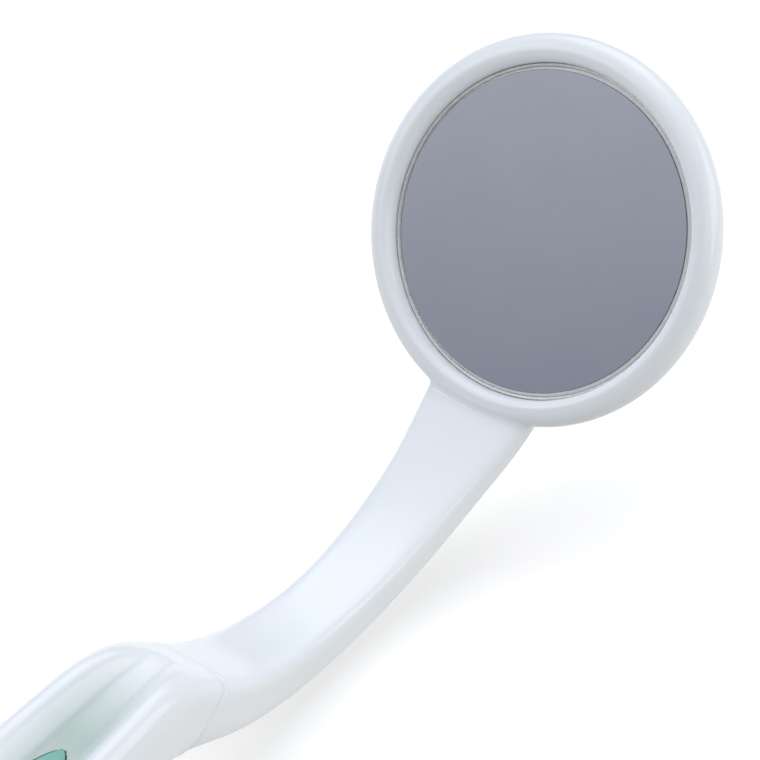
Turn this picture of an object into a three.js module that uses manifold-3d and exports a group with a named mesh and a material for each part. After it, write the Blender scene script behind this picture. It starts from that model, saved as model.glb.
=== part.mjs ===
// A plastic mouth mirror: a round glass mirror, silvered on its front, in a beaded cup on a flat bent
// neck that is held in a sculpted white grip with a soft teal insert for the thumb.
// Millimetres. +X runs along the handle towards the head, +Z is up, and Y is the width.
// The outline is laid out from the middle of the rim round the mirror, and the whole part is then moved
// so that its origin is at the bottom centre of its bounding box, with the grip lying on Z = 0.
import * as THREE from "three";
import { mergeVertices } from "three/addons/utils/BufferGeometryUtils.js";
import Module from "manifold-3d";

const wasm = await Module();
wasm.setup();

// ---- driving dimensions ----

const HEAD_TILT = THREE.MathUtils.degToRad(55); // rise of the mirror's face above the handle's line

const BEAD_RING_RADIUS = 12.1; // middle of the round rim around the mirror
const BEAD_RADIUS = 1.245;
const OPENING_RADIUS = 11.42; // inner wall of the cup
const OPENING_SHIFT = -0.12; // the opening and the mirror sit slightly nearer the neck than the rim
const LIP_HEIGHT = 0.35; // where the cup's upright inner wall turns over into the rim
const BEAD_UNDERCUT = THREE.MathUtils.degToRad(-35); // where the rim runs into the cup's back
const CUP_BACK = -2.6; // back of the cup, below the middle of the rim
const CUP_BACK_FLAT_RADIUS = 10.4;

const FACE_HEIGHT = 0.3; // the mirror's face, above the middle of the rim
const SILVER_THICKNESS = 0.1;
const GLASS_THICKNESS = 1.1;
const GLASS_CHAMFER = 0.22; // ground edge that the silver leaves bare
const ADHESIVE_THICKNESS = 0.3;
const EDGE_GAP = 0.25; // between the glass and the cup's wall
const LAYER_GAP = 0.05; // between one layer of the mirror and the next

// Heights of the top of each layer, and of the cup's floor.
const GLASS_TOP = FACE_HEIGHT - SILVER_THICKNESS - LAYER_GAP;
const ADHESIVE_TOP = GLASS_TOP - GLASS_THICKNESS - LAYER_GAP;
const CUP_FLOOR = ADHESIVE_TOP - ADHESIVE_THICKNESS - LAYER_GAP;

const GRIP_UNDERSIDE = -18.6; // flat strip that the part lies on
const SEAM_TOP = [-39.3, -9.9]; // where the neck enters the grip, on the top
const SEAM_BOTTOM = [-44.8, -12.95]; // and on the underside
const SEAM_GAP = 0.2;
const SEAM_OVERRUN = 0.4; // how far the slanted seam is carried past the surface at each end

const RECESS_TIP = -41.2;
const RECESS_DEPTH = 3.2;
const RECESS_HALF_WIDTH = 2.9;
const RECESS_WALL = 4.5; // exponent: how steep the recess's walls are
const RECESS_RUN_IN = 6; // length over which the recess deepens behind its tip
const RECESS_SPREAD = 12; // length over which it widens
const RECESS_LEAD = 1; // how far before its tip the widening starts, so that the tip is round
const RECESS_FADE_START = -84;
const RECESS_FADE_END = -107;

const TANG_HALF_WIDTH = 2;
const TANG_HALF_THICKNESS = 1.1;
const TANG_SQUARE = 4; // how square the tang's section is (2 is an ellipse)
const TANG_FIT = 0.15; // gap around the tang in the grip
const LOCK_HOLE_RADIUS = 1.1; // hole through the tang that the grip's plastic fills
const LOCK_HOLE = [-56, -12.4];

const INSERT_FRONT = -51.6;
const INSERT_BACK = -102;
const INSERT_HALF_WIDTH = 2.45;
const INSERT_DEPTH = 1.2; // how far the insert is let into the floor of the thumb recess
const INSERT_FIT = 0.12;
const INSERT_PROUD = 0.12;
const INSERT_END_HALF_WIDTH = 0.35; // blunt ends
const INSERT_OUTLINE = 2.6; // exponent: how full the insert's outline is (2 is an ellipse)
const INSERT_CROWN = 4; // exponent: how flat its section is across the middle
const INSERT_EDGE_SHARE = 0.4; // depth of the insert's edge as a share of its full depth
const POCKET_MOUTH = 4; // the pocket's cutter stands this far above the recess
const RIB_PITCH = 4.2;
const RIB_HEIGHT = 0.35;
const RIB_FIRST = -61;
const RIB_LAST = -95;

const HEAD_SIDES = 72; // segments round the head
const RING = 32; // points round a section of the handle
const STATIONS = 60; // sections along the handle
const POST_SIDES = 24;
const LIP_STEPS = 5;
const RIM_STEPS = 12;
const UNDERCUT_STEPS = 6;
const TOP_CURVE_STEPS = 600;
const WELD_DISTANCE = 1e-4;
const TANG_RING = 16;
const TANG_STATIONS = 14;
const INSERT_RING = 14;
const INSERT_STATIONS = 48;

// Key sections of the neck and grip, from the head to the tail. Each has the middle of its top and
// of its underside as [x, z], its half width, and how square its upper and lower halves are
// (2 is an ellipse).
const KEY_SECTIONS = [
  { top: [-7.2, -9.7], bottom: [-4.6, -10.3], half: 4.1, squareTop: 5, squareBottom: 4 },
  { top: [-8.7, -10.5], bottom: [-7.8, -12.45], half: 3.95, squareTop: 5, squareBottom: 4 },
  { top: [-13, -12.3], bottom: [-11.9, -14.95], half: 3.25, squareTop: 5, squareBottom: 4 },
  { top: [-18.5, -14.1], bottom: [-17.9, -17], half: 2.87, squareTop: 5, squareBottom: 4 },
  { top: [-25, -14.85], bottom: [-25, -18.1], half: 2.7, squareTop: 5, squareBottom: 4 },
  { top: [-31.5, -13.9], bottom: [-32.4, -17.45], half: 3.02, squareTop: 5, squareBottom: 4 },
  { top: [-36, -12], bottom: [-37.6, -16], half: 3.38, squareTop: 5, squareBottom: 4 },
  { top: [-39.3, -9.6], bottom: [-41.4, -14.3], half: 3.7, squareTop: 5, squareBottom: 3.6 },
  { top: [-42.2, -7.25], bottom: [-44.8, -12.95], half: 3.95, squareTop: 4, squareBottom: 3 },
  { top: [-45.2, -6.05], bottom: [-48.2, -13], half: 4.2, squareTop: 3.4, squareBottom: 2.7 },
  { top: [-49, -5.6], bottom: [-52.2, -14.2], half: 4.5, squareTop: 3, squareBottom: 2.6 },
  { top: [-56, -5.45], bottom: [-58.6, -16.6], half: 4.95, squareTop: 2.8, squareBottom: 2.5 },
  { top: [-66, -6.1], bottom: [-68.4, -18.6], half: 5.2, squareTop: 2.7, squareBottom: 2.5 },
  { top: [-84, -7.5], bottom: [-85, -18.95], half: 4.9, squareTop: 2.6, squareBottom: 2.5 },
  { top: [-108, -8.8], bottom: [-108, -18.95], half: 4.45, squareTop: 2.5, squareBottom: 2.5 },
  { top: [-132, -9], bottom: [-132, -18.95], half: 4.65, squareTop: 2.5, squareBottom: 2.5 },
  { top: [-147, -9.7], bottom: [-147, -18.9], half: 4.5, squareTop: 2.4, squareBottom: 2.4 },
  { top: [-152.2, -10.6], bottom: [-152.2, -18.5], half: 3.9, squareTop: 2.3, squareBottom: 2.3 },
  { top: [-155.2, -11.9], bottom: [-155.2, -17.5], half: 2.75, squareTop: 2.2, squareBottom: 2.2 },
  { top: [-156.3, -13.2], bottom: [-156.3, -16.4], half: 1.5, squareTop: 2, squareBottom: 2 },
  { top: [-156.5, -14.4], bottom: [-156.5, -15.2], half: 0.4, squareTop: 2, squareBottom: 2 },
];

// The tang's middle line, from inside the neck to its end inside the grip.
const TANG_LINE = [
  [-38.2, -13.1],
  [-41.8, -11.5],
  [-45.8, -10.6],
  [-50.5, -11.2],
  [-57, -12.6],
  [-66, -13.6],
];

// ---- solids ----

function solidOf(geometry) {
  const bare = geometry.clone();
  bare.deleteAttribute("normal");
  bare.deleteAttribute("uv");
  const merged = mergeVertices(bare, WELD_DISTANCE);
  return new wasm.Manifold(
    new wasm.Mesh({
      numProp: 3,
      vertProperties: new Float32Array(merged.attributes.position.array),
      triVerts: new Uint32Array(merged.index.array),
    }),
  );
}

function geometryOf(solid) {
  const mesh = solid.getMesh();
  const geometry = new THREE.BufferGeometry();
  geometry.setAttribute("position", new THREE.BufferAttribute(mesh.vertProperties, 3));
  geometry.setIndex(new THREE.BufferAttribute(mesh.triVerts, 1));
  geometry.computeVertexNormals();
  return geometry;
}

// A closed skin over rings of points, with a fan of triangles over each end.
function loft(rings) {
  const size = rings[0].length;
  const positions = rings.flat().flatMap((p) => [p.x, p.y, p.z]);
  const triangles = [];
  for (let k = 0; k + 1 < rings.length; k++) {
    for (let i = 0; i < size; i++) {
      const a = k * size + i;
      const b = k * size + ((i + 1) % size);
      triangles.push(a, b, a + size, b, b + size, a + size);
    }
  }
  const last = (rings.length - 1) * size;
  for (let i = 1; i + 1 < size; i++) {
    triangles.push(0, i + 1, i, last, last + i, last + i + 1);
  }
  const geometry = new THREE.BufferGeometry();
  geometry.setAttribute("position", new THREE.Float32BufferAttribute(positions, 3));
  geometry.setIndex(triangles);
  return geometry;
}

const inXZ = ([x, z]) => new THREE.Vector3(x, 0, z);
const smoothCurve = (points) => new THREE.CatmullRomCurve3(points, false, "centripetal");
const smoothstep = THREE.MathUtils.smoothstep;

// ---- shape of the thumb recess ----

// How deep the recess is at x: it falls away behind its tip and fades out at the back.
function recessDepth(x) {
  const behindTip = Math.max(0, RECESS_TIP - x);
  const fade = smoothstep(-x, -RECESS_FADE_START, -RECESS_FADE_END);
  return RECESS_DEPTH * (1 - Math.exp(-behindTip / RECESS_RUN_IN)) * (1 - fade);
}

// Half the recess's width at x: a round tip that widens like a spoon.
function recessHalfWidth(x) {
  const behindLead = Math.max(0, RECESS_TIP - x) + RECESS_LEAD;
  return RECESS_HALF_WIDTH * Math.sqrt(1 - Math.exp(-behindLead / RECESS_SPREAD));
}

// How far the recess lowers the grip's top: a flat floor with soft walls and lips.
function recessAt(x, y) {
  return recessDepth(x) / (1 + (Math.abs(y) / recessHalfWidth(x)) ** RECESS_WALL);
}

// ---- neck and grip ----

// One section between a top point and a bottom point. Its points run once round, from the middle
// of the top. The recess is taken out of the upper half, and nothing goes below the flat underside.
function sectionRing(top, bottom, half, squareTop, squareBottom) {
  const middle = top.clone().add(bottom).multiplyScalar(0.5);
  const up = top.clone().sub(bottom).multiplyScalar(0.5);
  return Array.from({ length: RING }, (_, i) => {
    const turn = (2 * Math.PI * i) / RING;
    const side = Math.sin(turn);
    const isUpper = Math.cos(turn) >= 0;
    const square = isUpper ? squareTop : squareBottom;
    const rise = Math.max(0, 1 - Math.abs(side) ** square) ** (1 / square);
    const point = middle.clone().addScaledVector(up, isUpper ? rise : -rise);
    point.y = half * side;
    if (isUpper) point.z -= recessAt(point.x, point.y);
    point.z = Math.max(point.z, GRIP_UNDERSIDE);
    return point;
  });
}

// The outside of the neck and grip as one smooth body, before it is parted at the seam.
function handleSkin() {
  const tops = smoothCurve(KEY_SECTIONS.map((s) => inXZ(s.top)));
  const bottoms = smoothCurve(KEY_SECTIONS.map((s) => inXZ(s.bottom)));
  const halves = smoothCurve(
    KEY_SECTIONS.map((s, i) => new THREE.Vector3(i, s.half, 0)),
  );
  const squares = smoothCurve(
    KEY_SECTIONS.map((s, i) => new THREE.Vector3(i, s.squareTop, s.squareBottom)),
  );
  const rings = Array.from({ length: STATIONS + 1 }, (_, k) => {
    const t = k / STATIONS;
    const square = squares.getPoint(t);
    return sectionRing(
      tops.getPoint(t),
      bottoms.getPoint(t),
      halves.getPoint(t).y,
      square.y,
      square.z,
    );
  });
  return loft(rings);
}

// A wide block that holds everything on the grip's side of the seam. Its front face follows the
// seam between the top and the underside, and stands upright above and below them.
function blockBehindSeam(shift) {
  const reach = 200; // past every side of the part
  const slant = inXZ(SEAM_TOP).sub(inXZ(SEAM_BOTTOM)).normalize();
  const upper = inXZ(SEAM_TOP).addScaledVector(slant, SEAM_OVERRUN);
  const lower = inXZ(SEAM_BOTTOM).addScaledVector(slant, -SEAM_OVERRUN);
  const outline = new THREE.Shape();
  outline.moveTo(upper.x, reach);
  outline.lineTo(upper.x, upper.z);
  outline.lineTo(lower.x, lower.z);
  outline.lineTo(lower.x, -reach);
  outline.lineTo(-reach, -reach);
  outline.lineTo(-reach, reach);
  const geometry = new THREE.ExtrudeGeometry(outline, { depth: reach, bevelEnabled: false });
  geometry.translate(0, 0, -reach / 2);
  geometry.rotateX(Math.PI / 2);
  geometry.translate(-slant.z * shift, 0, slant.x * shift);
  return solidOf(geometry);
}

// The flat bar with rounded edges that carries the neck inside the grip.
function tangBar(growth) {
  const line = smoothCurve(TANG_LINE.map(inXZ));
  const rings = Array.from({ length: TANG_STATIONS + 1 }, (_, k) => {
    const t = k / TANG_STATIONS;
    const along = line.getTangent(t);
    const up = new THREE.Vector3(-along.z, 0, along.x);
    const centre = line.getPoint(t);
    if (k === TANG_STATIONS) centre.addScaledVector(along, growth);
    return Array.from({ length: TANG_RING }, (_, i) => {
      const turn = (2 * Math.PI * i) / TANG_RING;
      const side = Math.sin(turn);
      const rise = Math.max(0, 1 - side ** TANG_SQUARE) ** (1 / TANG_SQUARE) * -Math.sign(Math.cos(turn));
      const point = centre.clone().addScaledVector(up, rise * (TANG_HALF_THICKNESS + growth));
      point.y = side * (TANG_HALF_WIDTH + growth);
      return point;
    });
  });
  return solidOf(loft(rings));
}

// The upright post that crosses the tang at its lock hole.
function lockPost(radius) {
  const height = 6 * TANG_HALF_THICKNESS;
  const geometry = new THREE.CylinderGeometry(radius, radius, height, POST_SIDES);
  geometry.rotateX(Math.PI / 2);
  geometry.translate(LOCK_HOLE[0], 0, LOCK_HOLE[1]);
  return solidOf(geometry);
}

// ---- thumb insert ----

// How far the ribs across the insert stand up at x. They fade in and out over a millimetre.
function ribsAt(x) {
  const inside = smoothstep(-x, -RIB_FIRST - 1, -RIB_FIRST) * smoothstep(x, RIB_LAST - 1, RIB_LAST);
  const wave = Math.cos((2 * Math.PI * (x - RIB_FIRST)) / RIB_PITCH);
  return inside * RIB_HEIGHT * Math.max(0, wave) ** 2;
}

// Half the insert's width: it widens from a rounded tip and closes again at the back.
function insertHalfWidth(x) {
  const fromMiddle = (2 * x - INSERT_FRONT - INSERT_BACK) / (INSERT_FRONT - INSERT_BACK);
  return INSERT_HALF_WIDTH * Math.sqrt(Math.max(0, 1 - Math.abs(fromMiddle) ** INSERT_OUTLINE));
}

// The height of the grip's top at x, before the recess is taken out of it.
const topCurvePoints = smoothCurve(KEY_SECTIONS.map((s) => inXZ(s.top))).getSpacedPoints(
  TOP_CURVE_STEPS,
);

function gripTopAt(x) {
  const k = topCurvePoints.findIndex((point) => point.x <= x);
  const after = topCurvePoints[k];
  const before = topCurvePoints[k - 1];
  return THREE.MathUtils.mapLinear(x, before.x, after.x, before.z, after.z);
}

// The insert's body. With a growth it is the pocket that holds the insert, open at the top.
function insertBody(growth) {
  const isPocket = growth > 0;
  const length = INSERT_FRONT - INSERT_BACK + 2 * growth;
  const rings = Array.from({ length: INSERT_STATIONS + 1 }, (_, k) => {
    const share = 0.5 - 0.5 * Math.cos((Math.PI * k) / INSERT_STATIONS);
    const x = INSERT_FRONT + growth - share * length;
    const half = Math.max(INSERT_END_HALF_WIDTH, insertHalfWidth(x)) + growth;
    return Array.from({ length: INSERT_RING }, (_, i) => {
      const turn = (2 * Math.PI * i) / INSERT_RING;
      const side = Math.sin(turn);
      const crown = Math.sqrt(1 - side ** INSERT_CROWN);
      const surface = gripTopAt(x) - recessAt(x, half * side);
      const proud = isPocket ? POCKET_MOUTH : crown * (INSERT_PROUD + ribsAt(x));
      const depth = (INSERT_DEPTH + growth) * Math.max(INSERT_EDGE_SHARE, crown);
      return new THREE.Vector3(x, half * side, surface + (Math.cos(turn) >= 0 ? proud : -depth));
    });
  });
  return solidOf(loft(rings));
}

// ---- cup ----

// The round cup that holds the mirror: a beaded rim whose back runs into a flat disc. It is turned
// round its own Z axis, with the middle of the rim at Z = 0, and then tilted into place.
function mirrorCup() {
  const ring = BEAD_RING_RADIUS;
  const lipWidth = ring - OPENING_RADIUS;
  const lipRise = BEAD_RADIUS - LIP_HEIGHT;
  const quarter = Math.PI / 2;
  const lip = new THREE.EllipseCurve(ring, LIP_HEIGHT, lipWidth, lipRise, Math.PI, quarter, true);
  const bead = new THREE.EllipseCurve(ring, 0, BEAD_RADIUS, BEAD_RADIUS, quarter, BEAD_UNDERCUT, true);
  const end = bead.getPoint(1);
  const drop = (end.y - CUP_BACK) / Math.cos(BEAD_UNDERCUT);
  const corner = new THREE.Vector2(end.x + drop * Math.sin(BEAD_UNDERCUT), CUP_BACK);
  const back = new THREE.Vector2(CUP_BACK_FLAT_RADIUS, CUP_BACK);
  const underside = new THREE.QuadraticBezierCurve(end, corner, back).getPoints(UNDERCUT_STEPS);
  const profile = [
    new THREE.Vector2(0, CUP_FLOOR),
    new THREE.Vector2(OPENING_RADIUS, CUP_FLOOR),
    ...lip.getPoints(LIP_STEPS),
    ...bead.getPoints(RIM_STEPS).slice(1),
    ...underside.slice(1),
    new THREE.Vector2(0, CUP_BACK),
  ];
  return shiftOpening(turnedBody(profile.toReversed())).rotateY(-HEAD_TILT);
}

// Moves the inside of the cup towards the neck. The shift fades out from the wall to the rim's crest.
function shiftOpening(geometry) {
  const points = geometry.attributes.position;
  for (let i = 0; i < points.count; i++) {
    const isInside = points.getZ(i) > CUP_FLOOR - LAYER_GAP;
    const radius = Math.hypot(points.getX(i), points.getY(i));
    const share = THREE.MathUtils.mapLinear(radius, OPENING_RADIUS, BEAD_RING_RADIUS, 1, 0);
    if (isInside) points.setX(i, points.getX(i) + OPENING_SHIFT * THREE.MathUtils.clamp(share, 0, 1));
  }
  return geometry;
}

// A body turned round the Z axis. Its profile of radius and height starts and ends on the axis, and
// runs from the bottom outwards and back over the top.
function turnedBody(profile) {
  return new THREE.LatheGeometry(profile, HEAD_SIDES).rotateX(Math.PI / 2);
}

// One flat layer of the mirror, with an optional chamfer round its upper edge.
function layerDisc(radius, top, thickness, chamfer = 0) {
  const profile = [new THREE.Vector2(0, top - thickness), new THREE.Vector2(radius, top - thickness)];
  if (chamfer) profile.push(new THREE.Vector2(radius, top - chamfer));
  profile.push(new THREE.Vector2(radius - chamfer, top), new THREE.Vector2(0, top));
  return turnedBody(profile).translate(OPENING_SHIFT, 0, 0);
}

// The glue: a thin bed under the glass, pressed up round its side as far as the chamfer.
function adhesiveBed(glassRadius) {
  const outside = OPENING_RADIUS - LAYER_GAP;
  const inside = glassRadius + LAYER_GAP;
  const bottom = ADHESIVE_TOP - ADHESIVE_THICKNESS;
  const rim = GLASS_TOP - GLASS_CHAMFER;
  const profile = [
    new THREE.Vector2(0, bottom),
    new THREE.Vector2(outside, bottom),
    new THREE.Vector2(outside, rim),
    new THREE.Vector2(inside, rim),
    new THREE.Vector2(inside, ADHESIVE_TOP),
    new THREE.Vector2(0, ADHESIVE_TOP),
  ];
  return turnedBody(profile).translate(OPENING_SHIFT, 0, 0);
}

// ---- assembly ----

const whitePlastic = new THREE.MeshStandardMaterial({ color: 0xe8eff6, roughness: 0.22 });
const tealRubber = new THREE.MeshStandardMaterial({ color: 0x7fbfb5, roughness: 0.6 });
const clearGlass = new THREE.MeshStandardMaterial({
  color: 0xf2f6f8,
  roughness: 0.03,
  transparent: true,
  opacity: 0.3,
});
const silver = new THREE.MeshStandardMaterial({ color: 0xc4c6cc, roughness: 0.05, metalness: 1 });
const clearGlue = new THREE.MeshStandardMaterial({ color: 0xd9dccf, roughness: 0.5 });

function named(name, geometry, material) {
  const mesh = new THREE.Mesh(geometry, material);
  mesh.name = name;
  return mesh;
}

function handlePieces() {
  const skin = solidOf(handleSkin());
  const neck = skin.subtract(blockBehindSeam(0));
  const grip = skin.intersect(blockBehindSeam(SEAM_GAP));

  const tang = tangBar(0).subtract(lockPost(LOCK_HOLE_RADIUS));
  const socket = tangBar(TANG_FIT).subtract(lockPost(LOCK_HOLE_RADIUS - TANG_FIT));
  const cup = solidOf(mirrorCup());
  const head = cup.add(neck).add(tang);

  const pocket = insertBody(INSERT_FIT);
  const insert = insertBody(0);
  return [
    named("head_and_neck", geometryOf(head), whitePlastic),
    named("grip", geometryOf(grip.subtract(socket).subtract(pocket)), whitePlastic),
    named("thumb_insert", geometryOf(insert), tealRubber),
  ];
}

function mirrorLayers() {
  const radius = OPENING_RADIUS - EDGE_GAP;
  const faceRadius = radius - GLASS_CHAMFER;
  const layers = new THREE.Group();
  layers.rotation.y = -HEAD_TILT;
  layers.add(
    named("silver_coat", layerDisc(faceRadius, FACE_HEIGHT, SILVER_THICKNESS), silver),
    named("mirror_glass", layerDisc(radius, GLASS_TOP, GLASS_THICKNESS, GLASS_CHAMFER), clearGlass),
    named("adhesive_bed", adhesiveBed(radius), clearGlue),
  );
  return layers;
}

const assembly = new THREE.Group();
assembly.add(...handlePieces(), mirrorLayers());

const box = new THREE.Box3().setFromObject(assembly, true);
assembly.position.set(-(box.min.x + box.max.x) / 2, 0, -box.min.z);

const mouthMirror = new THREE.Group();
mouthMirror.add(assembly);

export default mouthMirror;
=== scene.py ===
"""A plastic mouth mirror: a beaded cup with a round mirror, on a bent neck held in a sculpted grip.

The CAD nodes give the frame. Each visible piece is made again here as a fine mesh in the place of its
node: the cup and neck with a fillet between them, the grip with its thumb recess, the teal insert with
its ribs, and the silver, the glass and the glue of the mirror. Shapes are worked out in millimetres from
the middle of the rim round the mirror, as the CAD does it, and are then moved into the frame in metres.
"""
import math

import bmesh
import bpy
import numpy as np
from mathutils import Matrix, Vector


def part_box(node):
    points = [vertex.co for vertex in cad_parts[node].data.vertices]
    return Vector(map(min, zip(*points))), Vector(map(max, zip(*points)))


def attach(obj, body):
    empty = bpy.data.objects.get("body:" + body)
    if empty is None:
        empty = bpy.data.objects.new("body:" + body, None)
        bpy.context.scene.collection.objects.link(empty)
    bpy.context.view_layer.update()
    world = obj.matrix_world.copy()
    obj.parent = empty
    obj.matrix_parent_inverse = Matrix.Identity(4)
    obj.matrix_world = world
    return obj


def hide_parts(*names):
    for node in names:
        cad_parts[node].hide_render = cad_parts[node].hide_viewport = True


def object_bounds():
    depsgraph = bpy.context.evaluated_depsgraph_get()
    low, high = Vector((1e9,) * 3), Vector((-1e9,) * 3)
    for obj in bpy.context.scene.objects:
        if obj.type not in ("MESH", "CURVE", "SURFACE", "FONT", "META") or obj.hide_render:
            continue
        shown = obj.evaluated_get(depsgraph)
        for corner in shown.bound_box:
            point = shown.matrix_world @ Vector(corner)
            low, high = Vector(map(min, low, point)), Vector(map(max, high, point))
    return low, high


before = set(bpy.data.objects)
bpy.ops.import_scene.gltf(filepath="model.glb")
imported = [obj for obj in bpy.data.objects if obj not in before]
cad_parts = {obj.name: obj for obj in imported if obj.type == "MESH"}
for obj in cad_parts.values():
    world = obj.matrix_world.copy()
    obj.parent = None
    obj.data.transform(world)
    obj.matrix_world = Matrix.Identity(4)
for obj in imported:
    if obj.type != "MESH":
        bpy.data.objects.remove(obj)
cad_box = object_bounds()

MM = 0.001

# ---- driving dimensions as in the CAD: millimetres, and exponents or shares without a unit ----

HEAD_TILT = math.radians(55)
BEAD_RING_RADIUS = 12.1
BEAD_RADIUS = 1.245
OPENING_RADIUS = 11.42
OPENING_SHIFT = -0.12  # up the slope of the mirror's face, for the opening and the mirror
LIP_HEIGHT = 0.35
BEAD_UNDERCUT = math.radians(-35)
CUP_BACK = -2.6
CUP_BACK_FLAT_RADIUS = 10.4
FACE_HEIGHT = 0.3
SILVER_THICKNESS = 0.1
GLASS_THICKNESS = 1.1
GLASS_CHAMFER = 0.22
ADHESIVE_THICKNESS = 0.3
EDGE_GAP = 0.25
LAYER_GAP = 0.05
GLASS_TOP = FACE_HEIGHT - SILVER_THICKNESS - LAYER_GAP
ADHESIVE_TOP = GLASS_TOP - GLASS_THICKNESS - LAYER_GAP
CUP_FLOOR = ADHESIVE_TOP - ADHESIVE_THICKNESS - LAYER_GAP

GRIP_UNDERSIDE = -18.6
GRIP_TAIL = -156.5
SEAM_TOP = np.array([-39.3, 0.0, -9.9])
SEAM_BOTTOM = np.array([-44.8, 0.0, -12.95])
RECESS_TIP = -41.2
RECESS_DEPTH = 3.2
RECESS_HALF_WIDTH = 2.9
RECESS_RUN_IN = 6  # length over which it deepens
RECESS_SPREAD = 12  # length over which it widens
RECESS_LEAD = 1  # gives it some width at its tip
RECESS_FADE = (84, 107)  # distances behind the rim's middle between which it runs out
RECESS_WALL = 4.5  # a higher exponent has steeper walls
TANG_HALF_WIDTH = 2
TANG_HALF_THICKNESS = 1.1
TANG_SQUARE = 4
TANG_FIT = 0.15
LOCK_HOLE_RADIUS = 1.1
LOCK_HOLE = (-56, -12.4)  # (x, z) of its middle
TANG_LINE = [(-38.2, -13.1), (-41.8, -11.5), (-45.8, -10.6), (-50.5, -11.2), (-57, -12.6), (-66, -13.6)]
INSERT_FRONT = -51.6
INSERT_BACK = -102
INSERT_HALF_WIDTH = 2.45
INSERT_DEPTH = 1.2
INSERT_FIT = 0.12
INSERT_PROUD = 0.12
INSERT_END_HALF_WIDTH = 0.12
INSERT_OUTLINE = 2.6
INSERT_CROWN = 4
INSERT_EDGE_SHARE = 0.4
POCKET_MOUTH = 4
RIB_PITCH = 4.2
RIB_HEIGHT = 0.35
RIB_FIRST = -61
RIB_LAST = -95

# Key sections of the neck and grip: the middle of the top and of the underside as (x, z), the half
# width, and how square the upper and lower halves are.
KEY_SECTIONS = [
    ((-7.2, -9.7), (-4.6, -10.3), 4.1, 5, 4),
    ((-8.7, -10.5), (-7.8, -12.45), 3.95, 5, 4),
    ((-13, -12.3), (-11.9, -14.95), 3.25, 5, 4),
    ((-18.5, -14.1), (-17.9, -17), 2.87, 5, 4),
    ((-25, -14.85), (-25, -18.1), 2.7, 5, 4),
    ((-31.5, -13.9), (-32.4, -17.45), 3.02, 5, 4),
    ((-36, -12), (-37.6, -16), 3.38, 5, 4),
    ((-39.3, -9.6), (-41.4, -14.3), 3.7, 5, 3.6),
    ((-42.2, -7.25), (-44.8, -12.95), 3.95, 4, 3),
    ((-45.2, -6.05), (-48.2, -13), 4.2, 3.4, 2.7),
    ((-49, -5.6), (-52.2, -14.2), 4.5, 3, 2.6),
    ((-56, -5.45), (-58.6, -16.6), 4.95, 2.8, 2.5),
    ((-66, -6.1), (-68.4, -18.6), 5.2, 2.7, 2.5),
    ((-84, -7.5), (-85, -18.95), 4.9, 2.6, 2.5),
    ((-108, -8.8), (-108, -18.95), 4.45, 2.5, 2.5),
    ((-132, -9), (-132, -18.95), 4.65, 2.5, 2.5),
    ((-147, -9.7), (-147, -18.9), 4.5, 2.4, 2.4),
    ((-152.2, -10.6), (-152.2, -18.5), 3.9, 2.3, 2.3),
    ((-155.2, -11.9), (-155.2, -17.5), 2.75, 2.2, 2.2),
    ((-156.3, -13.2), (-156.3, -16.4), 1.5, 2, 2),
    ((-156.5, -14.4), (-156.5, -15.2), 0.4, 2, 2),
]

# ---- finer shape in millimetres, seen only on these meshes ----

NECK_FILLET = 0.55  # between the neck and the cup
FILLET_DIP = 0.004  # how far the fillet's first ring sinks into the cup, to join it cleanly
FILLET_ROOTS = (0.3, 0.05)  # how deep in the cup the rings before the fillet lie
FLOOR_ROUND = 0.2  # corner between the cup's floor and its wall
SEAM_GAP = 0.02  # between the neck and the grip, where the CAD leaves 0.2
SEAM_ROUND = 0.45  # rounded edge of the neck and of the grip at the seam
EDGE_ROUND = 0.03  # edges of the glass
SILVER_ROUND = 0.035  # edges of the silver
SOFT_CORNER = 0.3  # share of the rounding that it takes off a chamfer's corner
GLUE_CROWN = 0.22  # how far the glue's rim is rounded up
GLUE_CORNER = 0.15  # keeps the glue clear of the cup's floor corner
GLUE_GAP = 0.015  # between the glue's rim and the glass's side or the cup's wall

# ---- how fine the meshes are: the export thins a piece of over 200,000 triangles ----

NECK_SIDES = 200
NECK_RINGS = 200
GRIP_SIDES = 200
GRIP_FINE_RINGS = 130
GRIP_COARSE_RINGS = 220
GRIP_FINE_END = 0.56  # t at which the grip's closely spaced rings end
FLAT_RINGS = 14  # points of a profile across a flat face
WALL_RINGS = 8  # points of a profile up the glue's side
SAME_POINT = 3e-7  # metres between points that are taken as one

# ---- where to search for a crossing, as t along the handle ----

FILLET_SEARCH = (0.002, 0.1)
SEAM_SEARCH = (0.2, 0.6)

# ---- which faces of a disc are its flat ones, by the cosine of their angle to the mirror's face ----

FLAT_FACE = 0.9999
POLISHED_FACE = 0.99

# ---- the frame: the rim's middle, and the directions of the mirror's face ----

grip_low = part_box("grip")[0]
RIM_MIDDLE = np.array([grip_low.x - GRIP_TAIL * MM, 0, grip_low.z - GRIP_UNDERSIDE * MM])
FACE_UP = np.array([math.cos(HEAD_TILT), 0, math.sin(HEAD_TILT)])  # up the slope of the mirror's face
FACE_SIDE = np.array([0.0, 1.0, 0.0])
FACE_NORMAL = np.array([-math.sin(HEAD_TILT), 0, math.cos(HEAD_TILT)])


# ---- curves ----

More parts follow.
